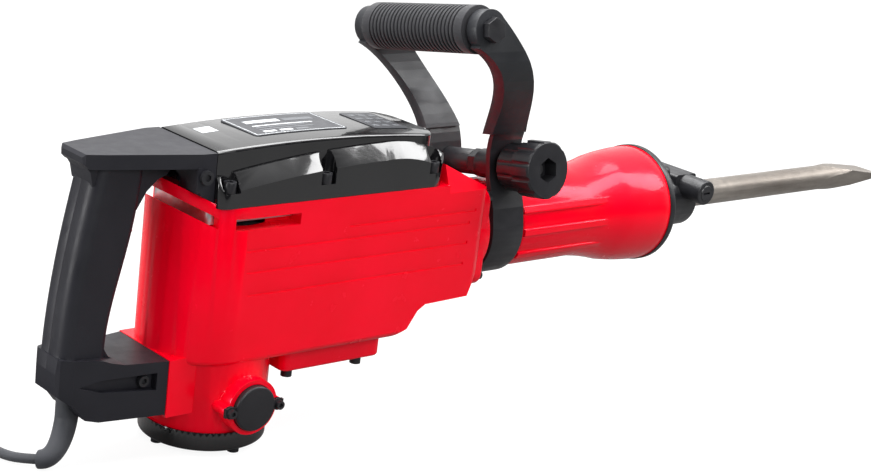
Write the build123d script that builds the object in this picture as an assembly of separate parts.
"""Electric demolition hammer with a hex-shank flat chisel, D-handle and clamped side handle.

Frame: millimetres, +Z up along the motor shaft, +X along the tool axis towards the chisel's edge.
The origin is the centre of the tail cover's flat underside, on the motor axis.
"""
from build123d import *
from math import acos, cos, pi, radians, sin, sqrt, tan
import os

# --- driving dimensions -------------------------------------------------------------------------
TOOL_Z = 149.2              # height of the tool axis
HOUSING_TOP = 205.0         # joint between the housing and the gear cover
HOUSING_HALF = 52.0         # half-width of the housing
HOUSING_BOTTOM = 74.0       # underside of the gearbox part
HOUSING_FRONT = 246.0       # face that the front case bolts to
REAR_CENTRE_X = -10.0       # centre of the housing's rounded rear end
BARREL_R = 51.0             # lower motor barrel
TAIL_R = 52.3               # tail cover
TAIL_HEIGHT = 16.2
TAIL_PAD_R = 38.5           # middle of the underside, which stands a little proud of its screw ring
TAIL_STEP = 0.4
TAIL_SCREW_ANGLES = (-88, 2, 92, 182)
RIM_X = 486.6               # front edge of the bell-shaped front case
RIM_R = 55.4
NECK_R = 40.5               # seat of the side handle's clamp
NOSE_R = 28.0               # boss round the tool
NOSE_END = 558.0
SHANK_FLATS = 30.0          # hex shank, across flats
CHISEL_R = 13.0
CHISEL_BACK = 474.0         # inner end of the chisel
CHISEL_LENGTH = 410.0
EDGE_WIDTH = 36.0           # width of the chisel's cutting edge
CLAMP_X = 281.0             # middle of the side handle's clamp strap
STRAP_WIDTH = 37.0
STRAP_THICK = 5.0
GRIP_X, GRIP_RISE = 219.5, 176.5        # grip axis: along the tool, and out from the tool axis
GRIP_R = 20.8
CLAMP_BOLT_RISE = 54.2
CLAMP_BOLT_X = 284.5
SIDE_ROLL = 10.5            # the side handle stands this many degrees round the tool axis
CRANK_X = 86.5
CRANK_THROW = 16.0
ROD_LENGTH = 72.0
RELAY_X = 37.5              # intermediate gear shaft
PISTON_R = 24.0
FLOOR_Z = -4.0              # surface under the tail screws' heads
CORD_D = 8.0
RUNNING = 0.05              # radial clearance of a running fit

AX, AY, AZ = (1, 0, 0), (0, 1, 0), (0, 0, 1)
parts = {}


# --- small helpers ------------------------------------------------------------------------------
def rod(radius, start, direction, length):
    """Cylinder from a start point along a direction."""
    return extrude(Plane(origin=start, z_dir=direction) * Circle(radius), length)


def tube(outer, inner, start, direction, length):
    return extrude(Plane(origin=start, z_dir=direction) * (Circle(outer) - Circle(inner)), length)


def block(x, y, z):
    """Box between two limits on each axis."""
    size = [high - low for low, high in (x, y, z)]
    middle = [(high + low) / 2 for low, high in (x, y, z)]
    return Pos(*middle) * Box(*size)


def side_prism(points, low, high):
    """Outline in x and z, extruded from y = low to y = high."""
    outline = make_face(Polyline(*[(x, 0, z) for x, z in points], close=True))
    return Pos(0, high, 0) * extrude(outline, high - low, dir=(0, -1, 0))


def plan_prism(points, low, high):
    """Outline in x and y, extruded from z = low to z = high."""
    outline = make_face(Polyline(*[(x, y, low) for x, y in points], close=True))
    return extrude(outline, high - low, dir=(0, 0, 1))


def end_prism(points, low, high):
    """Outline in y and z, extruded from x = low to x = high."""
    outline = make_face(Polyline(*[(low, y, z) for y, z in points], close=True))
    return extrude(outline, high - low, dir=(1, 0, 0))


def turned(points):
    """Solid of revolution about the tool axis from an outline of (x, radius) points."""
    outline = make_face(Polyline(*[(x, 0, TOOL_Z + r) for x, r in points], close=True))
    return revolve(outline, Axis((0, 0, TOOL_Z), AX), 360)


def socket_screw(head_top, out, head_r, head_h, shank_r, shank_l):
    """Hex-socket cap screw; head_top is the middle of its outer face and out points away from the work."""
    back = Vector(*out) * -1
    top = Vector(*head_top)
    screw = rod(head_r, top, back, head_h) + rod(shank_r, top + back * head_h, back, shank_l)
    socket = extrude(Plane(origin=top, z_dir=back) * RegularPolygon(head_r * 0.55, 6), head_h * 0.55)
    screw -= socket
    return screw


def mirrored(solid):
    """The same piece on the other side of the machine's middle plane."""
    return mirror(solid, about=Plane.XZ)


def group(pieces):
    """Separate solids kept together in one node."""
    return Compound([solid for piece in pieces for solid in piece.solids()])


def gear(teeth, module, low, high, bore, centre_x, phase):
    """Spur gear about a vertical axis; phase is the angle of one tooth's middle, in degrees."""
    pressure, backlash = radians(25), 0.10
    pitch_r = teeth * module / 2
    base_r, tip_r, root_r = pitch_r * cos(pressure), pitch_r + 0.75 * module, pitch_r - module
    half_tooth = pi / (2 * teeth) - backlash / pitch_r + tan(pressure) - pressure
    flank = []
    for step in range(5):
        r = max(base_r, root_r) + (tip_r - max(base_r, root_r)) * step / 4
        roll = acos(min(1, base_r / r))
        flank.append((r, half_tooth - (tan(roll) - roll)))
    points = []
    for tooth in range(teeth):
        middle = radians(phase) + 2 * pi * tooth / teeth
        side = [(root_r, half_tooth)] + flank
        angles = [(r, middle - a) for r, a in side] + [(r, middle + a) for r, a in reversed(side)]
        points += [(centre_x + r * cos(a), r * sin(a)) for r, a in angles]
    return plan_prism(points, low, high) - rod(bore, (centre_x, 0, low - 1), AZ, high - low + 2)


def bearing(inner, outer, start, direction, width):
    """Sealed ball bearing: a ring with a shallow step for the seal on each face."""
    ring = tube(outer, inner, start, direction, width)
    step_out, step_in = outer - 0.22 * (outer - inner), inner + 0.22 * (outer - inner)
    face = Vector(*start) + Vector(*direction) * (width - 0.6)
    return ring - tube(step_out, step_in, start, direction, 0.6) - tube(step_out, step_in, face, direction, 0.6)


# --- casing -------------------------------------------------------------------------------------
REAR_TOP_START, REAR_TOP_SLOPE = -31.0, 0.504       # the housing's rear rim and its vent rise towards the rear
COVER_REAR = -37.0
VENT_Z = (186.5, 196.0)
REAR_VENT_FRONT, REAR_VENT_Z = -34.0, (188.0, 196.6)
SIDE_VENT_X = (-21.0, 41.0)
RIB_LINES = ((169.6, -9, 226), (151.8, -7, 226), (132.8, -5, 224), (180.5, 92, 232))
BRUSH_X, BRUSH_Z = 4.0, 40.0
BRUSH_EARS = (-23.2, 23.2)
BOSS_FACE = 61.5
PLATE_FOOT = 190.0          # ledge that the bearing plate sits on
CAVITY_R = 47.6


def housing_plan(half, front, low, high):
    """Rounded-rear plan of the housing between two heights."""
    body = block((REAR_CENTRE_X, front), (-half, half), (low, high))
    return body + rod(half, (REAR_CENTRE_X, 0, low), AZ, high - low)


def rim_height(x):
    """Height of the sloping rim behind the gear cover."""
    return HOUSING_TOP + REAR_TOP_SLOPE * (REAR_TOP_START - x)


def above_rim(clearance):
    """Space above the sloping rim, behind the gear cover."""
    corner = COVER_REAR - 0.1
    return side_prism([(-70, rim_height(-70) + clearance), (corner, rim_height(corner) + clearance), (corner, 260),
                       (-70, 260)], -60, 60)


def make_main_housing():
    side_view = [(-70, HOUSING_BOTTOM), (-70, rim_height(-70)), (COVER_REAR - 0.1, rim_height(COVER_REAR - 0.1)),
                 (COVER_REAR - 0.1, HOUSING_TOP), (198.5, HOUSING_TOP), (198.5, 221), (HOUSING_FRONT, 198),
                 (HOUSING_FRONT, 160), (242, 124), (234, 101.5), (186, 100), (178, 95), (168, 80), (152, HOUSING_BOTTOM)]
    body = housing_plan(HOUSING_HALF, HOUSING_FRONT, HOUSING_BOTTOM, 222)
    body = fillet(body.edges().filter_by(Axis.Z).filter_by_position(Axis.X, 240, 250), 9)
    body &= side_prism(side_view, -60, 60)
    shoulder = [(-60, 60), (-60, 190), (-52.5, 197), (-42, 222), (42, 222), (52.5, 197), (60, 190), (60, 60)]
    body &= end_prism(shoulder, 198.5, 260) + block((-80, 198.5), (-60, 60), (60, 230))
    body = fillet(body.edges().filter_by_position(Axis.Z, HOUSING_BOTTOM - 0.1, HOUSING_BOTTOM + 0.1), 5)
    body += rod(BARREL_R, (0, 0, TAIL_HEIGHT), AZ, HOUSING_BOTTOM - TAIL_HEIGHT + 10)
    body += block((-62, -37), (-37, 37), (33, 81))
    for side in (-1, 1):
        body += rod(23.5, (BRUSH_X, 0, BRUSH_Z), (0, side, 0), BOSS_FACE)
        body += [rod(5.2, (BRUSH_X + x, side * 40, BRUSH_Z), (0, side, 0), BOSS_FACE - 40) for x in BRUSH_EARS]
    return body


def housing_cuts():
    cuts = [rod(CAVITY_R, (0, 0, 10), AZ, 173)]
    cuts.append(block((-40, 186), (-39, 39), (PLATE_FOOT, 206)))
    cuts.append(block((45, 180), (-44, 44), (112, 192)))
    cuts.append(block((58, 148), (-30, 30), (60, 120)))
    cuts.append(block((-20, 50), (-40, 40), (120, 176)))
    cuts.append(rod(40, (0, 0, 176), AZ, 30))
    cuts.append(rod(29.0, (170, 0, TOOL_Z), AX, 90))
    for side in (-1, 1):
        cuts.append(rod(19.4, (BRUSH_X, 0, BRUSH_Z), (0, side, 0), BOSS_FACE + 1))
        low, high = sorted((side * 36, side * 60))
        cuts.append(block(SIDE_VENT_X, (low, high), VENT_Z))
        cuts += [rod(2.6, (x, side * y, 194), AZ, 20) for x, y in COVER_SCREWS]
        cuts += [rod(1.9, (BRUSH_X + x, side * 52, BRUSH_Z), (0, side, 0), 12) for x in BRUSH_EARS]
        for z, start, end in RIB_LINES:
            low, high = sorted((side * (HOUSING_HALF - 0.9), side * 60))
            cuts.append(block((start, end), (low, high), (z - 1.3, z + 1.3)))
    ring = tube(70, 28, (REAR_CENTRE_X, 0, 170), AZ, 60)
    low, high = REAR_VENT_Z
    rise = REAR_TOP_SLOPE * (REAR_VENT_FRONT + 70)
    cuts.append(ring & side_prism([(REAR_VENT_FRONT, low), (REAR_VENT_FRONT, high), (-70, high + rise),
                                   (-70, low + rise)], -60, 60))
    return cuts


def make_tail_cover():
    cover = fillet(rod(TAIL_R, (0, 0, 0), AZ, TAIL_HEIGHT).edges().sort_by(Axis.Z)[0], 3)
    cover -= rod(47, (0, 0, 6), AZ, 20) + tube(60, TAIL_PAD_R, (0, 0, -1), AZ, 1 + TAIL_STEP)
    cover += rod(46.8, (0, 0, 12), AZ, 3) - rod(43.5, (0, 0, 11), AZ, 8)
    cover += tube(22, 17.5, (0, 0, 4), AZ, 23)
    for angle in TAIL_SCREW_ANGLES:
        x, y = 44.0 * cos(radians(angle)), 44.0 * sin(radians(angle))
        cover += rod(6.5, (x, y, 4), AZ, TAIL_HEIGHT - 4) & rod(46.8, (0, 0, 0), AZ, 30)
        cover -= rod(2.6, (x, y, -1), AZ, 20)
    return cover


SUMP_SCREWS = [(66, -22), (66, 22), (140, -22), (140, 22)]


def make_sump_cover():
    cover = block((52.5, 158), (-34, 34), (51, HOUSING_BOTTOM))
    cover = fillet(cover.edges().filter_by(Axis.Z), 8)
    cover = fillet(cover.edges().sort_by(Axis.Z)[:8], 3)
    cover -= block((60, 150), (-28, 28), (57, 80))
    for x, y in SUMP_SCREWS:
        cover += rod(7, (x, y, 52), AZ, HOUSING_BOTTOM - 52)
        cover -= rod(2.6, (x, y, 45), AZ, 40)
    return cover


def make_base_screws():
    """Socket screws under the machine: four in the tail cover and four in the sump cover."""
    screws = [socket_screw((x, y, 43), (0, 0, -1), 4.8, 8, 2.55, 22) for x, y in SUMP_SCREWS]
    for angle in TAIL_SCREW_ANGLES:
        x, y = 44.0 * cos(radians(angle)), 44.0 * sin(radians(angle))
        screws.append(socket_screw((x, y, FLOOR_Z), (0, 0, -1), 4.8, TAIL_STEP - FLOOR_Z, 2.55, 18))
    return group(screws)


# --- gear cover ---------------------------------------------------------------------------------
COVER_SCREWS = [(-27, 46), (66, 46.6), (181, 46)]
COVER_HEAD_TOP = 226.0
CROWN_HALF = 40.0


def under_crown(rise):
    """Everything under the gear cover's slightly arched top face, raised by a small amount."""
    arch = ThreePointArc((-60, 0, 246), (90, 0, 252.6), (200, 0, 246.5))
    side = make_face(arch + Polyline((200, 0, 246.5), (200, 0, 200), (-60, 0, 200), (-60, 0, 246)))
    return Pos(0, 60, rise) * extrude(side, 120, dir=(0, -1, 0))


def make_gear_cover():
    skirt = block((COVER_REAR, 196), (-51, 51), (HOUSING_TOP, 250))
    skirt = fillet(skirt.edges().filter_by(Axis.Z).filter_by_position(Axis.X, 190, 200), 16)
    skirt = fillet(skirt.edges().filter_by(Axis.Z).filter_by_position(Axis.X, -40, -30), 8)
    shoulder_line = ThreePointArc((-56, 0, 225), (50, 0, 240.5), (125, 0, 244.8)) \
        + ThreePointArc((125, 0, 244.8), (172, 0, 240.2), (212, 0, 221))
    outline = make_face(shoulder_line + Polyline((212, 0, 221), (212, 0, 185), (-56, 0, 185), (-56, 0, 225)))
    bulge = Pos(0, 42, 0) * extrude(outline, 84, dir=(0, -1, 0))
    lip = extrude(Pos(0, 42, 0) * outline, 9, dir=(0, 1, 0), taper=54)
    skirt &= bulge + lip + mirrored(lip)
    crown = block((-36, 192), (-CROWN_HALF, CROWN_HALF), (206, 260))
    crown = fillet(crown.edges().filter_by(Axis.Z).filter_by_position(Axis.X, 185, 200), 22)
    crown &= under_crown(0)
    crown = fillet(crown.edges().filter_by_position(Axis.Z, 243, 256).filter_by_position(Axis.X, -30, 200), 2.5)
    return skirt + crown


def make_rear_cap():
    """Rounded cap on the housing's sloping rim, behind the rear handle's flange."""
    dome = fillet(rod(47.5, (REAR_CENTRE_X, 0, HOUSING_TOP), AZ, 25).edges().sort_by(Axis.Z)[-1], 9)
    return dome & above_rim(0.05) & block((-60, THICK_FLANGE_REAR - 0.5), (-60, 60), (200, 240))


def cover_cuts():
    cuts = [block((-28, 182), (-38.5, 38.5), (200, 213)), block((-24, 176), (-34, 34), (212, 242))]
    cuts.append(rod(39.5, (CRANK_X, 0, 200), AZ, 35))
    for x, y in COVER_SCREWS:
        pocket = rod(7.5, (x, y, COVER_HEAD_TOP - 9), AZ, 60) + rod(7.5, (x, y + 6, COVER_HEAD_TOP - 9), AZ, 60)
        pocket &= block((x - 10, x + 10), (CROWN_HALF + 0.05, 80), (200, 300))
        hole = rod(2.6, (x, y, 200), AZ, 40)
        cuts += [pocket, hole, mirrored(pocket), mirrored(hole)]
    return cuts


def make_cover_screws():
    screws = []
    for x, y in COVER_SCREWS:
        screws += [socket_screw((x, side * y, COVER_HEAD_TOP), AZ, 5.0, 9, 2.55, 22) for side in (-1, 1)]
    return group(screws)


def cover_plate(x, y):
    """Blank plate that lies on the gear cover's arched top."""
    outline = fillet(block(x, y, (240, 260)).edges().filter_by(Axis.Z), 4)
    return (under_crown(0.5) - under_crown(0)) & outline


# --- front case and nose ------------------------------------------------------------------------
CASE_BORE_R = 33.0
FLANGE_FRONT = 256.0
RIB_ANGLES = (63, 90, 122, -63, -90, -122)
CASE_SCREWS = [(y, z) for y in (-36, 36) for z in (-36, 36)]
NOSE_BOLTS = [(y, z) for y in (-29.5, 29.5) for z in (-38, 38)]
PIN_X, PIN_RISE, PIN_R = 545.0, 17.0, 8.0


def make_front_case():
    outer = Polyline((HOUSING_FRONT, 0, 46), (258.5, 0, 46), (260, 0, NECK_R), (303, 0, NECK_R), (304, 0, 42.8),
                     (392, 0, 42.8))
    bell = ThreePointArc((392, 0, 42.8), (417, 0, 46.2), (437, 0, 50.8)) \
        + ThreePointArc((437, 0, 50.8), (462, 0, 54.1), (RIM_X, 0, RIM_R))
    inner = Polyline((RIM_X, 0, RIM_R), (RIM_X, 0, 45), (442, 0, 45), (436, 0, CASE_BORE_R),
                     (HOUSING_FRONT, 0, CASE_BORE_R), (HOUSING_FRONT, 0, 46))
    outline = Pos(0, 0, TOOL_Z) * make_face(outer + bell + inner)
    case = revolve(outline, Axis((0, 0, TOOL_Z), AX), 360)
    rib = fillet(block((303.5, 428), (-3.6, 3.6), (TOOL_Z + 38, TOOL_Z + 45.2)).edges().filter_by(Axis.X), 1.5)
    for angle in RIB_ANGLES:
        case += rib.rotate(Axis((0, 0, TOOL_Z), AX), angle)
    flange = block((HOUSING_FRONT, FLANGE_FRONT), (-45, 45), (TOOL_Z - 44, TOOL_Z + 44))
    flange = fillet(flange.edges().filter_by(Axis.X), 12)
    flange = fillet(flange.edges().filter_by(Axis.X, reverse=True).filter_by_position(Axis.X, 255, 257), 2)
    case += flange - rod(38, (240, 0, TOOL_Z), AX, 30)
    for y, z in CASE_SCREWS:
        case -= rod(2.6, (240, y, TOOL_Z + z), AX, 30)
    for y, z in NOSE_BOLTS:
        case += rod(7, (446, y, TOOL_Z + z), AX, RIM_X - 446) & rod(50.5, (440, 0, TOOL_Z), AX, 60)
        case -= rod(3.1, (462, y, TOOL_Z + z), AX, 40)
    return case


def make_case_screws():
    return group([socket_screw((261.5, y, TOOL_Z + z), AX, 4.6, 5.5, 2.55, 9.9) for y, z in CASE_SCREWS])


def make_nose_cover():
    cover = rod(56.2, (RIM_X, 0, TOOL_Z), AX, 8)
    cover = fillet(cover.edges().sort_by(Axis.X)[-1], 2.5)
    cover += rod(36, (RIM_X - 6, 0, TOOL_Z), AX, 6)
    cover += fillet(rod(NOSE_R, (490, 0, TOOL_Z), AX, NOSE_END - 490).edges().sort_by(Axis.X)[-1], 2.5)
    cover += fillet(rod(34, (490, 0, TOOL_Z), AX, 12).edges().sort_by(Axis.X)[-1], 3)
    barrel = rod(12.2, (PIN_X, 30, TOOL_Z + PIN_RISE), (0, -1, 0), 78)
    cover += fillet(barrel.edges().filter_by(GeomType.CIRCLE), 1.5)
    saddle = block((529, 558), (-21, 25), (TOOL_Z + 12, TOOL_Z + PIN_RISE + 12.2))
    cover += fillet(saddle.edges().filter_by(Axis.Y), 3)
    cover -= rod(20.5, (470, 0, TOOL_Z), AX, 100)
    cover -= rod(PIN_R + RUNNING, (PIN_X, 40, TOOL_Z + PIN_RISE), (0, -1, 0), 100)
    cover -= rod(1.6, (PIN_X, -39, TOOL_Z + PIN_RISE), AZ, 20)
    for y, z in NOSE_BOLTS:
        cover -= rod(3.1, (480, y, TOOL_Z + z), AX, 30)
    return cover


def make_nose_bolts():
    return group([socket_screw((500.6, y, TOOL_Z + z), AX, 6.0, 6, 3.05, 30) for y, z in NOSE_BOLTS])


def make_retainer_pin():
    pin = rod(PIN_R, (PIN_X, 29, TOOL_Z + PIN_RISE), (0, -1, 0), 77.6)
    pin = chamfer(pin.edges().filter_by(GeomType.CIRCLE), 0.8)
    pin -= block((PIN_X - 10, PIN_X + 10), (-17.5, 17.5), (TOOL_Z + PIN_RISE, TOOL_Z + PIN_RISE + 10))
    pin -= tube(9, 6.6, (PIN_X, -37, TOOL_Z + PIN_RISE), (0, -1, 0), 4)
    pin -= block((PIN_X - 4.5, PIN_X + 4.5), (-50, -46), (TOOL_Z + PIN_RISE - 1, TOOL_Z + PIN_RISE + 1))
    return pin


def make_tool_sleeve():
    sleeve = rod(20.45, (442, 0, TOOL_Z), AX, 114)
    sleeve -= level_hexagon(SHANK_FLATS + 0.3, 430, 140)
    sleeve -= rod(PIN_R + 0.4, (PIN_X, 40, TOOL_Z + PIN_RISE), (0, -1, 0), 100)
    return sleeve + tube(32.8, 20.45, (448, 0, TOOL_Z), AX, 12)


def level_hexagon(flats, start, length):
    """Hexagonal bar on the tool axis with a flat side up."""
    corner = flats / sqrt(3)
    corners = [(corner * cos(radians(60 * k)), TOOL_Z + corner * sin(radians(60 * k))) for k in range(6)]
    return end_prism(corners, start, start + length)


def make_chisel():
    tip = CHISEL_BACK + CHISEL_LENGTH
    body = chamfer(level_hexagon(SHANK_FLATS, CHISEL_BACK, 84).edges().filter_by_position(Axis.X, 473, 475), 1.5)
    body += rod(CHISEL_R, (CHISEL_BACK + 84, 0, TOOL_Z), AX, tip - 96 - CHISEL_BACK - 84)
    notch = block((516, 553.5), (-20, 20), (TOOL_Z + PIN_RISE - PIN_R - 0.4, TOOL_Z + 30))
    body -= notch
    half = EDGE_WIDTH / 2
    spread = plan_prism([(tip - 97, -13), (tip - 50, -14.5), (tip - 6, -half), (tip, -half), (tip, half),
                         (tip - 6, half), (tip - 50, 14.5), (tip - 97, 13)], TOOL_Z - 14, TOOL_Z + 14)
    wedge = side_prism([(tip - 97, TOOL_Z - 13), (tip - 84, TOOL_Z - 13), (tip, TOOL_Z - 0.8), (tip, TOOL_Z + 0.8),
                        (tip - 84, TOOL_Z + 13), (tip - 97, TOOL_Z + 13)], -20, 20)
    cone_line = [(tip - 97, 0), (tip - 97, CHISEL_R), (tip - 60, 15.5), (tip, 24), (tip, 0)]
    return body + (spread & wedge & turned(cone_line))


# --- side handle (built upright, then rolled round the tool axis) ---------------------------------
ARM_ROOT = [(43.3, 0), (43.3, 17), (38.5, 44), (38.5, 62)]
ARM_TOP = 198.0
NEAR_ARM_Y, FAR_ARM_Y = 82.5, 65.0      # upright tops of the two arms
GRIP_FAR, GRIP_NEAR = 57.0, -73.5       # ends of the grip sleeve
KNOB_FACE, KNOB_BACK = 91.5, 47.8


def arm_line(top_y):
    """Middle of one arm in y and rise: upright at the clamp, swept outwards, upright again at the grip."""
    foot_y, foot_rise = ARM_ROOT[-1]
    sweep_rise, steps = 96.0, 12
    line = []
    for step in range(1, steps + 1):
        share = step / steps
        line.append((foot_y + (top_y - foot_y) * (1 - cos(pi * share)) / 2, foot_rise + sweep_rise * share))
    return ARM_ROOT + line + [(top_y, ARM_TOP)]


def strip(points, thickness):
    """Closed outline of a bent strap in y and z, from its middle line."""
    left, right = [], []
    for index, (y, z) in enumerate(points):
        before = points[max(index - 1, 0)]
        after = points[min(index + 1, len(points) - 1)]
        first = Vector(y - before[0], z - before[1]) if index else Vector(after[0] - y, after[1] - z)
        second = Vector(after[0] - y, after[1] - z) if index < len(points) - 1 else first
        bisector = (first.normalized() + second.normalized()).normalized()
        reach = thickness / 2 / cos(radians(first.get_angle(second) / 2))
        left.append((y - bisector.Y * reach, z + bisector.X * reach))
        right.append((y + bisector.Y * reach, z - bisector.X * reach))
    return left + right[::-1]


def arm_outline(inset, foot):
    """Side view of an arm: straight at the clamp, curved back to the grip."""
    front = ThreePointArc((297.5 - inset, 0, 84), (274 - inset, 0, 136), (230 - inset, 0, 190 - inset))
    back = ThreePointArc((206 + inset, 0, 161.5 + inset), (243.5 + inset, 0, 127), (256.5 + inset, 0, 84))
    outline = make_face(front + Line((230 - inset, 0, 190 - inset), (206 + inset, 0, 161.5 + inset)) + back
                        + Line((256.5 + inset, 0, 84), (297.5 - inset, 0, 84)))
    solid = Pos(0, 120, TOOL_Z) * extrude(outline, 240, dir=(0, -1, 0))
    solid += rod(17.4 - inset, (GRIP_X, 120, TOOL_Z + GRIP_RISE), (0, -1, 0), 240)
    low, high = CLAMP_X - STRAP_WIDTH / 2, CLAMP_X + STRAP_WIDTH / 2
    if foot:
        solid += block((low, high), (-60, 60), (TOOL_Z, TOOL_Z + 84.01))
    return solid


def arm_bar(arm, thickness, first_rise):
    path = [(y, TOOL_Z + z) for y, z in arm]
    bar = end_prism(strip(path, thickness), 180, 310)
    return bar & block((170, 320), (0, 120), (TOOL_Z + first_rise, 400))


def cross_hole(radius, x, rise):
    return rod(radius, (x, 120, TOOL_Z + rise), (0, -1, 0), 240)


def make_side_strap():
    low = CLAMP_X - STRAP_WIDTH / 2
    side_view = arm_outline(3, True)
    far = arm_bar(arm_line(FAR_ARM_Y), STRAP_THICK, 0) & side_view
    near = arm_bar(arm_line(NEAR_ARM_Y), STRAP_THICK, 0) & side_view
    ring = tube(NECK_R + 0.3 + STRAP_THICK, NECK_R + 0.3, (low, 0, TOOL_Z), AX, STRAP_WIDTH)
    strap = (ring & block((250, 310), (-60, 60), (TOOL_Z - 60, TOOL_Z))) + far + mirrored(near)
    strap -= cross_hole(6.1, GRIP_X, GRIP_RISE)
    return strap - cross_hole(5.1, CLAMP_BOLT_X, CLAMP_BOLT_RISE)


def make_arm_sleeve(top_y):
    """Moulded cover round the upper part of one steel arm."""
    sleeve = arm_bar(arm_line(top_y), 11.5, 84) & arm_outline(0, False)
    sleeve -= arm_bar(arm_line(top_y), STRAP_THICK, 0) & arm_outline(3, True)
    return sleeve - cross_hole(6.1, GRIP_X, GRIP_RISE)


def make_side_grip():
    grip = tube(GRIP_R, 6.1, (GRIP_X, GRIP_FAR, TOOL_Z + GRIP_RISE), (0, -1, 0), GRIP_FAR - GRIP_NEAR)
    pitch, count = 4.7, 24
    for index in range(count):
        y = (GRIP_FAR + GRIP_NEAR) / 2 + (index - (count - 1) / 2) * pitch
        grip -= tube(GRIP_R + 1, GRIP_R - 1.4, (GRIP_X, y + 1.1, TOOL_Z + GRIP_RISE), (0, -1, 0), 2.2)
    return grip


def make_grip_bolt():
    far_face, near_face = FAR_ARM_Y + 5.9, -NEAR_ARM_Y - 5.9
    centre = (GRIP_X, far_face, TOOL_Z + GRIP_RISE)
    bolt = rod(6.0, centre, (0, -1, 0), far_face - near_face)
    hexagon = RegularPolygon(9.5, 6, major_radius=False)
    bolt += extrude(Plane(origin=(GRIP_X, near_face, TOOL_Z + GRIP_RISE), z_dir=(0, -1, 0)) * hexagon, 7)
    return bolt + extrude(Plane(origin=centre, z_dir=AY) * hexagon, 7)


def make_clamp_bolt():
    centre = (CLAMP_BOLT_X, 41.1, TOOL_Z + CLAMP_BOLT_RISE)
    bolt = rod(5.0, centre, (0, -1, 0), 121)
    return bolt + extrude(Plane(origin=centre, z_dir=AY) * RegularPolygon(8.5, 6, major_radius=False), 6)


def make_clamp_spacers():
    centre = (CLAMP_BOLT_X, 0, TOOL_Z + CLAMP_BOLT_RISE)
    far = tube(11.5, 5.1, centre, AY, 35.9)
    near = tube(13.2, 5.1, (centre[0], -10, centre[2]), (0, -1, 0), 25.9)
    nut = Plane(origin=centre, z_dir=(0, -1, 0)) * (RegularPolygon(11, 6, major_radius=False) - Circle(5.1))
    return group([far, near, extrude(nut, 9.8)])


def make_clamp_knob():
    face = (CLAMP_BOLT_X, -KNOB_FACE, TOOL_Z + CLAMP_BOLT_RISE)
    knob = rod(25.2, face, AY, 22)
    knob += fillet(rod(21.5, face, AY, KNOB_FACE - KNOB_BACK).edges().sort_by(Axis.Y)[-1], 2)
    knob = chamfer(knob.edges().sort_by(Axis.Y)[0], 1.5)
    for index in range(12):
        angle = 2 * pi * (index + 0.5) / 12
        start = (face[0] + 26.8 * cos(angle), face[1] - 1, face[2] + 26.8 * sin(angle))
        knob -= rod(3.2, start, AY, 40)
        behind = (face[0] + 23.1 * cos(angle), face[1] + 21, face[2] + 23.1 * sin(angle))
        knob -= rod(2.6, behind, AY, 30)
    knob -= extrude(Plane(origin=face, z_dir=AY) * RegularPolygon(11, 6), 14)
    return knob - rod(5.0 + RUNNING, (face[0], face[1] - 1, face[2]), AY, 60)


# --- rear handle --------------------------------------------------------------------------------
FOOT_FRONT = -62.2
FLANGE_REAR, FLANGE_FRONT_X, THICK_FLANGE_REAR = -50.0, -37.2, -53.5
HANDLE_TOP = 247.6
GRIP_SIDE = 19.0            # half-width of the grip
REAR_ROUND, FRONT_ROUND = 10.8, 6.0
GRIP_STATIONS = [(60, -147.5, -106.5), (106, -147, -107.5), (147, -142.8, -99.8), (180, -137.8, -92.5),
                 (205, -133.2, -88.5), (240, -126.5, -85)]        # height, rear and front of the grip
SLAB_LINE = [(FLANGE_FRONT_X, HANDLE_TOP), (-137.5, HANDLE_TOP), (-139.5, 245), (-138.8, 240), (-134, 236),
             (FLANGE_FRONT_X, 236)]
SLAB_PLAN = [(-139.5, -15), (-137.5, -17.5), (-124, -22), (-50, -41), (FLANGE_FRONT_X, -41)]
WEB_LINE = [(FLANGE_FRONT_X, 238), (-135.5, 238), (-131.5, 232.5), (-129, 222), (-100, 222), (-100, 200),
            (-89, 200), (-81, 214), (-72, 222.5), (-64, 226), (-58.5, 232.5), (FLANGE_FRONT_X, 232.5)]
FOOT_LINE = [(-149.8, 75), (-149, 57.5), (-135.5, 47.5), (-127, 37), (-116, 34.5), (FOOT_FRONT, 35.5),
             (FOOT_FRONT, 80.5), (-98, 80.5), (-108, 82.5), (-115, 85), (-149, 87.5)]
FOOT_PLAN = [(-150, -14), (-147.5, -17.5), (-138, -22), (FOOT_FRONT, -36)]
POCKET_LINE = [(-133, 64.5), (-116, 69), (-71, 71.5), (-71, 57), (-116, 59)]
HANDLE_SCREWS = [(-121, 241), (-134, 150), (-142, 66), (-76, 48), (-68, 241.5)]
SCREW_SEAT = 14.9
GUARD_START = (-128.5, 0, 38)
TRIGGER_PIVOT = (-99.0, 0, 219.0)
TOP_SCREW, FOOT_SCREW = (-46.5, 229.5), (-80, 64.2)     # x and z of the screws that hold the handle on


def both_sides(points):
    """A half plan, given on the -y side, closed by its mirror image."""
    return points + [(x, -y) for x, y in reversed(points)]


def grip_body(inset):
    """Grip with rounded long edges, drawn in by a wall thickness for its hollow."""
    sections = []
    for z, rear, front in GRIP_STATIONS:
        length = front - rear - 2 * inset
        face = Pos((front + rear) / 2, 0, z) * Rectangle(length, 2 * (GRIP_SIDE - inset))
        back_corners = face.vertices().sort_by(Axis.X)[:2]
        face = fillet(back_corners, REAR_ROUND - inset)
        front_corners = face.vertices().sort_by(Axis.X)[-2:]
        sections.append(fillet(front_corners, FRONT_ROUND - min(inset, 3)))
    return loft(sections)


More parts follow.
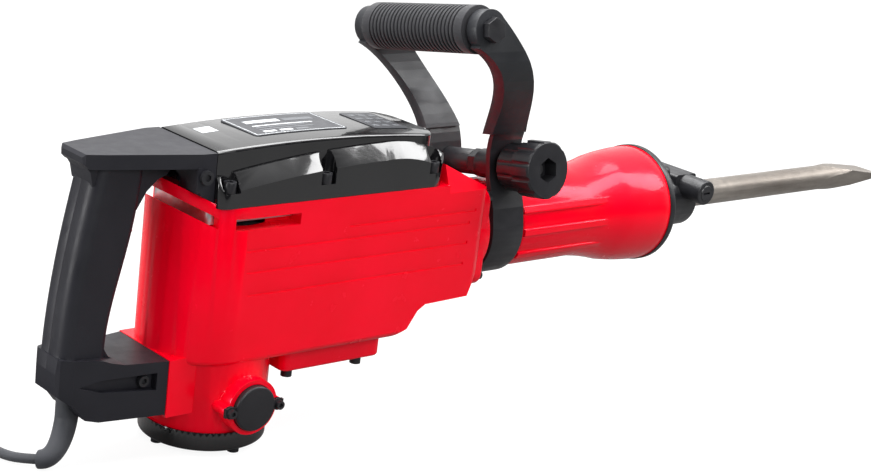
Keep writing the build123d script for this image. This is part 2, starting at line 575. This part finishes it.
def handle_body():
    foot = side_prism(FOOT_LINE, -60, 60) & plan_prism(both_sides(FOOT_PLAN), 30, 90)
    neck = side_prism([(-97, 79), (-104, 83), (-109, 91), (-110.5, 106), (-125, 106), (-125, 79)], -14, 14)
    slab = side_prism(SLAB_LINE, -60, 60) & plan_prism(both_sides(SLAB_PLAN), 230, 250)
    web = side_prism(WEB_LINE, -15, 15)
    flange = block((FLANGE_REAR, FLANGE_FRONT_X), (-41, 41), (HOUSING_TOP, 237))
    flange += block((THICK_FLANGE_REAR, FLANGE_FRONT_X), (-41, 41), (217, 237))
    return grip_body(0) + foot + neck + slab + web + (flange & above_rim(0.3))


def handle_hollow():
    foot = block((-145, -67), (-17, 17), (46, 74))
    return grip_body(4) + foot + block((-118, -60), (-10, 10), (226, 243))


def handle_shell():
    outer = handle_body()
    shell = outer - handle_hollow()
    shell -= block((-112, -60), (-8.5, 8.5), (171.5, 227.5))
    pocket = side_prism(POCKET_LINE, -60, 60) & plan_prism([(-134, -20.5), (-71, -26.5), (-71, -60), (-134, -60)], 50, 80)
    shell -= pocket
    shell -= mirrored(pocket)
    for x, z in HANDLE_SCREWS:
        shell += rod(5.5, (x, -60, z), AY, 120) & outer
        shell -= rod(1.85, (x, -12, z), AY, 40)
        shell -= rod(4.2, (x, SCREW_SEAT, z), AY, 40)
    for side in (-1, 1):
        shell -= rod(2.5 + RUNNING, (TRIGGER_PIVOT[0], 0, TRIGGER_PIVOT[2]), (0, side, 0), 13)
        shell -= rod(3 + RUNNING, (TOP_SCREW[0], side * 20.9, TOP_SCREW[1]), (0, side, 0), 30)
        shell -= rod(2.5 + RUNNING, (FOOT_SCREW[0], side * 20.4, FOOT_SCREW[1]), (0, side, 0), 30)
    shell -= rod(5.05, (-110, 10, 208), AY, 20)
    return shell - rod(9.25, (GUARD_START[0], 0, 30), AZ, 22.5)


def handle_half(side):
    low, high = sorted((0, side * 70))
    return handle_shell() & block((-160, -30), (low, high), (20, 260))


def make_handle_screws():
    return group([socket_screw((x, SCREW_SEAT + 3, z), AY, 4.0, 3, 1.8, 26) for x, z in HANDLE_SCREWS])


def make_mount_screws():
    """Socket screws that hold the rear handle's top arm and foot to the machine."""
    top = [socket_screw((TOP_SCREW[0], side * 44.4, TOP_SCREW[1]), (0, side, 0), 5.6, 3.4, 3, 20) for side in (-1, 1)]
    foot = [socket_screw((FOOT_SCREW[0], side * 30.5, FOOT_SCREW[1]), (0, side, 0), 4.6, 4, 2.5, 6) for side in (-1, 1)]
    return group(top + foot)


def make_trigger():
    outline = [(-103, 222.5), (-95, 224), (-87.5, 222.5), (-85.5, 214), (-88, 200), (-90.5, 189), (-86.5, 181.5),
               (-89, 177.5), (-95, 174.5), (-103, 177), (-104, 205)]
    lever = fillet(side_prism(outline, -8.1, 8.1).edges().filter_by(Axis.Y).filter_by_position(Axis.X, -92, -84), 1.2)
    return lever + rod(2.5, (TRIGGER_PIVOT[0], -12, TRIGGER_PIVOT[2]), AY, 24)


def make_lock_button():
    return fillet(rod(5.0, (-110, 14.5, 208), AY, 8).edges().sort_by(Axis.Y)[-1], 1)


def make_switch_body():
    return block((-124.5, -108.5), (-11, 11), (196, 222)) + block((-122, -112), (-8, 8), (186, 196))


# --- motor --------------------------------------------------------------------------------------
def make_stator_core():
    core = tube(CAVITY_R, 29, (0, 0, 85), AZ, 64)
    return core - [rod(6, (38 * cos(radians(a)), 38 * sin(radians(a)), 80), AZ, 80) for a in (45, 135, 225, 315)]


def make_field_coils():
    coils = []
    for z in (72.5, 149.2):
        coils.append(fillet(tube(42, 31, (0, 0, z), AZ, 12.3).edges().filter_by(GeomType.CIRCLE), 3))
    return group(coils)


def make_armature_shaft():
    shaft = rod(7, (0, 0, 20), AZ, 185) + gear(12, 1.25, 204.9, 222, 3, 0, 0)
    return shaft + rod(3.1, (0, 0, 204.8), AZ, 17.3)


def make_armature_core():
    core = tube(28.4, 7.0, (0, 0, 88), AZ, 58)
    for index in range(12):
        angle = 30 * index
        core -= block((26, 30), (-1.2, 1.2), (80, 150)).rotate(Axis.Z, angle)
    return core


def make_commutator():
    return fillet(tube(18, 7.0, (0, 0, 33), AZ, 18).edges().filter_by(GeomType.CIRCLE).sort_by(Axis.Z)[-1], 1)


def make_fan():
    fan = tube(43, 7.0, (0, 0, 168), AZ, 2.5) + tube(13, 7.0, (0, 0, 168), AZ, 15)
    for index in range(14):
        fan += block((12, 42), (-1, 1), (170, 182)).rotate(Axis.Z, 360 / 14 * index)
    return fan


BRUSH_HALF = (3.5, 6.0)


def brush_part(side, reach, wall, low, high):
    """Rectangular piece in the brush tunnel: carbon, holder sleeve or spring space."""
    y = sorted((side * low, side * high))
    outer = block((BRUSH_X - BRUSH_HALF[0] - wall, BRUSH_X + BRUSH_HALF[0] + wall), y,
                  (BRUSH_Z - BRUSH_HALF[1] - wall, BRUSH_Z + BRUSH_HALF[1] + wall))
    if reach:
        outer -= block((BRUSH_X - BRUSH_HALF[0], BRUSH_X + BRUSH_HALF[0]), sorted((side * 1, side * 90)),
                       (BRUSH_Z - BRUSH_HALF[1], BRUSH_Z + BRUSH_HALF[1]))
    return outer


def make_brushes():
    return group([brush_part(side, False, 0, 18.2, 38) for side in (-1, 1)])


def make_brush_holders():
    return group([brush_part(side, True, 3, 22, 57) for side in (-1, 1)])


def make_brush_springs():
    return group([tube(3.2, 2.2, (BRUSH_X, side * 38.1, BRUSH_Z), (0, side, 0), 19.5) for side in (-1, 1)])


def make_brush_caps():
    caps = []
    for side in (-1, 1):
        cap = rod(19, (BRUSH_X, side * 58, BRUSH_Z), (0, side, 0), 8.5)
        rim = cap.edges().sort_by(Axis.Y)[0 if side < 0 else -1]
        cap = fillet(rim, 1.8)
        for x in BRUSH_EARS:
            cap += rod(5.2, (BRUSH_X + x, side * BOSS_FACE, BRUSH_Z), (0, side, 0), 3)
            cap += block((BRUSH_X + x - 5, BRUSH_X + x + 5), sorted((side * BOSS_FACE, side * 64.5)),
                         (BRUSH_Z - 4, BRUSH_Z + 4))
        for x in BRUSH_EARS:
            cap -= rod(1.9, (BRUSH_X + x, side * 60, BRUSH_Z), (0, side, 0), 8)
        caps.append(cap)
    return group(caps)


def make_brush_screws():
    return group([socket_screw((BRUSH_X + x, side * 68.3, BRUSH_Z), (0, side, 0), 3.7, 3.8, 1.85, 12)
                  for side in (-1, 1) for x in BRUSH_EARS])


# --- gearing and hammer mechanism ---------------------------------------------------------------
def make_bearing_plate():
    plate = block((-39.8, 185.8), (-38.8, 38.8), (PLATE_FOOT, 204.8))
    plate = fillet(plate.edges().filter_by(Axis.Z), 4)
    plate -= rod(17.5, (0, 0, 180), AZ, 40)
    plate -= rod(13.0, (RELAY_X, 0, 193), AZ, 20)
    plate -= rod(23.5, (CRANK_X, 0, 180), AZ, 40)
    return plate


def make_bearings():
    """Ball bearings of the armature's two ends, the relay shaft and the crankshaft."""
    seats = [(7, 17.5, 0, 10.2, 11), (7, 17.5, 0, 190.5, 11), (6, 13, RELAY_X, 193.2, 11), (10, 23.5, CRANK_X, 188, 14)]
    return group([bearing(shaft_r + RUNNING, outer, (x, 0, z), AZ, width) for shaft_r, outer, x, z, width in seats])


def make_relay_shaft():
    shaft = rod(6, (RELAY_X, 0, 193.5), AZ, 48) + rod(8, (RELAY_X, 0, 205.2), AZ, 2.2)
    return shaft + gear(12, 2, 219.5, 234, 4, RELAY_X, 0) + rod(4.1, (RELAY_X, 0, 219.4), AZ, 14.7)


def make_relay_gear():
    return gear(48, 1.25, 207.5, 219, 6, RELAY_X, 180 + 180 / 48)


def make_crankshaft():
    shaft = rod(10, (CRANK_X, 0, 168), AZ, 68) + rod(26, (CRANK_X, 0, 168), AZ, 11)
    return shaft + rod(6, (CRANK_X + CRANK_THROW, 0, 158), AZ, 11)


def make_crank_gear():
    return gear(37, 2, 221, 233, 10, CRANK_X, 180 + 180 / 37) \
        - [rod(6, (CRANK_X + 21 * cos(radians(a)), 21 * sin(radians(a)), 210), AZ, 40) for a in range(0, 360, 60)]


ROD_END_X = CRANK_X + CRANK_THROW + ROD_LENGTH


def make_connecting_rod():
    big, small = (CRANK_X + CRANK_THROW, 0, 141), (ROD_END_X, 0, 141)
    rod_body = rod(13, big, AZ, 16.5) + rod(10, small, AZ, 16.5)
    rod_body += block((big[0], small[0]), (-6.5, 6.5), (143, 155.5))
    return rod_body - rod(6.3, (big[0], 0, 130), AZ, 40) - rod(6 + RUNNING, (small[0], 0, 130), AZ, 40)


def make_wrist_pin():
    return rod(6, (ROD_END_X, 0, TOOL_Z - 19), AZ, 38)


def make_piston():
    piston = rod(PISTON_R - RUNNING, (155, 0, TOOL_Z), AX, 50)
    piston -= rod(17.5, (150, 0, TOOL_Z), AX, 42)
    piston -= block((150, 170), (-15, 15), (TOOL_Z - 30, TOOL_Z + 30))
    piston -= rod(6, (ROD_END_X, 0, TOOL_Z - 19), AZ, 38)
    return piston - tube(30, 21.4, (197, 0, TOOL_Z), AX, 3)


def make_cylinder():
    cylinder = tube(29, PISTON_R, (150, 0, TOOL_Z), AX, 196)
    return cylinder + tube(32.9, 28.9, (260, 0, TOOL_Z), AX, 14)


def make_striker():
    striker = rod(PISTON_R - RUNNING, (222, 0, TOOL_Z), AX, 52) + rod(13, (270, 0, TOOL_Z), AX, 30)
    return striker - tube(30, 21.4, (250, 0, TOOL_Z), AX, 3)


def make_impact_bolt():
    return chamfer(rod(15, (350, 0, TOOL_Z), AX, 115).edges().filter_by(GeomType.CIRCLE), 1.2)


def make_impact_guide():
    return tube(32.8, 15 + RUNNING, (360, 0, TOOL_Z), AX, 66) + tube(28.8, 15 + RUNNING, (346.5, 0, TOOL_Z), AX, 14)


def make_damper_ring():
    return fillet(tube(32.5, 20.7, (428, 0, TOOL_Z), AX, 13).edges().filter_by(GeomType.CIRCLE), 1.5)


# --- supply cord --------------------------------------------------------------------------------
GUARD_LINE = [(-128.5, 0, 34, 9.2), (-131.5, -2.8, 24.5, 8.9), (-138, -8, 15.5, 8.4), (-145.8, -11.2, 8.3, 7.9),
              (-155, -7.5, 4, 7.4)]     # middle and radius of the strain relief's sections
COIL_CENTRE, COIL_R = (-222.0, 104.0), 44.0
COIL_WIDE, COIL_LAYERS = 2, 4
CORD_Z = FLOOR_Z + CORD_D / 2
LEAD_ROUTE = [(-155.0, -7.5, 4.0), (-165.2, 6.2, 1.2), (-171.8, 24.0, 0.0), (-173.9, 47.5, 0.0), (-174.4, 72.2, 0.0),
              (-173.8, 97.0, 0.0)]
TAIL_ROUTE = [(-270.2, 100.0, 23.6), (-270.8, 82.0, 19.0), (-269.5, 63.0, 11.0), (-265.0, 46.0, 6.4),
              (-260.0, 30.0, 5.0)]
PLUG_AT, PLUG_AIM = Vector(-260, 30, 5), Vector(5, -16, 0).normalized()
PLUG_ACROSS = PLUG_AIM.cross(Vector(0, 0, 1))


def make_cord_guard():
    """Tapered strain relief: straight down out of the handle, then a bend along the floor."""
    middles = [Vector(x, y, z) for x, y, z, r in GUARD_LINE]
    headings = [Vector(0, 0, -1)]
    headings += [after - before for before, after in zip(middles, middles[2:])]
    headings.append(Vector(*LEAD_ROUTE[1]) - Vector(*LEAD_ROUTE[0]))
    sections = [Plane(origin=middle, z_dir=heading.normalized(), x_dir=Vector(0, 1, 0).cross(heading).normalized())
                * Circle(line[3]) for middle, heading, line in zip(middles, headings, GUARD_LINE)]
    return loft(sections) + rod(GUARD_LINE[0][3], GUARD_LINE[0][:3], AZ, 18)


def corner_radii(points):
    """Arc at each corner: 0.45 of the shorter run over the tangent of half the turn."""
    radii = []
    for before, at, after in zip(points, points[1:], points[2:]):
        first, second = Vector(*at) - Vector(*before), Vector(*after) - Vector(*at)
        turn = radians(first.get_angle(second))
        radii.append(0.45 * min(first.length, second.length) / tan(turn / 2))
    return radii


def make_cord(route, name):
    radii = corner_radii(route)
    path = FilletPolyline(*route, radius=radii)
    section = Plane(origin=path @ 0, z_dir=path % 0) * Circle(CORD_D / 2)
    cord = sweep(section, path)
    expected = pi * (CORD_D / 2) ** 2 * path.length
    print(name, "radii", [round(r) for r in radii], "length", round(path.length, 1),
          "volume ratio", round(cord.volume / expected, 4))
    return cord


def make_cord_coil():
    reach, height = COIL_WIDE * CORD_D / 2, COIL_LAYERS * CORD_D
    coil = tube(COIL_R + reach, COIL_R - reach, (*COIL_CENTRE, FLOOR_Z), AZ, height)
    return fillet(coil.edges().filter_by(GeomType.CIRCLE), 3)


def make_cord_tie():
    reach, height = COIL_WIDE * CORD_D / 2, COIL_LAYERS * CORD_D
    x, y = COIL_CENTRE[0], COIL_CENTRE[1] + COIL_R
    outer = block((x - 5, x + 5), (y - reach - 1.6, y + reach + 1.6), (FLOOR_Z, FLOOR_Z + height + 1.6))
    outer = fillet(outer.edges().filter_by(Axis.X).filter_by_position(Axis.Z, 20, 40), 2)
    return outer - make_cord_coil()


def make_plug_body():
    """Flat-bodied contour plug with a tapered tail."""
    plane = Plane(origin=PLUG_AT, z_dir=PLUG_AIM, x_dir=PLUG_ACROSS)
    tail = loft([plane * RectangleRounded(10, 9.5, 4.5), plane.offset(14) * RectangleRounded(24, 15, 6),
                 plane.offset(24) * RectangleRounded(34, 17.6, 8)])
    return tail + extrude(plane.offset(24) * RectangleRounded(34, 17.6, 8), 16)


def make_plug_pins():
    pins = []
    for side in (-9.5, 9.5):
        start = PLUG_AT + PLUG_AIM * 40 + PLUG_ACROSS * side
        pins.append(fillet(rod(2.4, start, PLUG_AIM, 19).edges().filter_by(GeomType.CIRCLE).sort_by(Axis.Y)[0], 1))
    return group(pins)


# --- assembly -----------------------------------------------------------------------------------
def rolled(solid):
    return solid.rotate(Axis((0, 0, TOOL_Z), AX), -SIDE_ROLL)


def build_all():
    housing = make_main_housing()
    for cut in housing_cuts():
        housing -= cut
    cover = make_gear_cover()
    for cut in cover_cuts():
        cover -= cut
    near_sleeve, far_sleeve = mirrored(make_arm_sleeve(NEAR_ARM_Y)), make_arm_sleeve(FAR_ARM_Y)
    parts.update({
        "main_housing": housing, "tail_cover": make_tail_cover(), "base_screws": make_base_screws(),
        "sump_cover": make_sump_cover(), "gear_cover": group([cover, make_rear_cap()]),
        "cover_screws": make_cover_screws(),
        "blank_plates": group([cover_plate((15, 108), (-18, 34)), cover_plate((134, 171), (-22, 30))]),
        "front_case": make_front_case(),
        "case_screws": make_case_screws(), "nose_cover": make_nose_cover(), "nose_bolts": make_nose_bolts(),
        "tool_sleeve": make_tool_sleeve(), "retainer_pin": make_retainer_pin(),
        "chisel": make_chisel(), "side_strap": rolled(make_side_strap()),
        "arm_sleeves": rolled(group([near_sleeve, far_sleeve])), "side_grip": rolled(make_side_grip()),
        "grip_bolt": rolled(make_grip_bolt()), "clamp_bolt": rolled(make_clamp_bolt()),
        "clamp_spacers": rolled(make_clamp_spacers()), "clamp_knob": rolled(make_clamp_knob()),
        "handle_near": handle_half(-1), "handle_far": handle_half(1), "handle_screws": make_handle_screws(),
        "mount_screws": make_mount_screws(), "trigger": make_trigger(), "lock_button": make_lock_button(),
        "switch_body": make_switch_body(), "stator_core": make_stator_core(), "field_coils": make_field_coils(),
        "armature_shaft": make_armature_shaft(), "armature_core": make_armature_core(),
        "commutator": make_commutator(), "fan": make_fan(), "carbon_brushes": make_brushes(),
        "brush_holders": make_brush_holders(), "brush_springs": make_brush_springs(),
        "brush_caps": make_brush_caps(), "brush_screws": make_brush_screws(),
        "bearing_plate": make_bearing_plate(), "bearings": make_bearings(),
        "relay_shaft": make_relay_shaft(), "relay_gear": make_relay_gear(),
        "crankshaft": make_crankshaft(), "crank_gear": make_crank_gear(), "connecting_rod": make_connecting_rod(),
        "wrist_pin": make_wrist_pin(), "piston": make_piston(), "cylinder": make_cylinder(),
        "striker": make_striker(), "impact_bolt": make_impact_bolt(), "impact_guide": make_impact_guide(),
        "damper_ring": make_damper_ring(), "cord_guard": make_cord_guard(),
        "cord_lead": make_cord(LEAD_ROUTE, "lead"), "cord_coil": make_cord_coil(), "cord_tie": make_cord_tie(),
        "cord_tail": make_cord(TAIL_ROUTE, "tail"), "plug_body": make_plug_body(), "plug_pins": make_plug_pins()})


build_all()
os.makedirs("parts", exist_ok=True)
for node, solid in parts.items():
    export_step(solid, f"parts/{node}.step")
print(len(parts), "nodes")
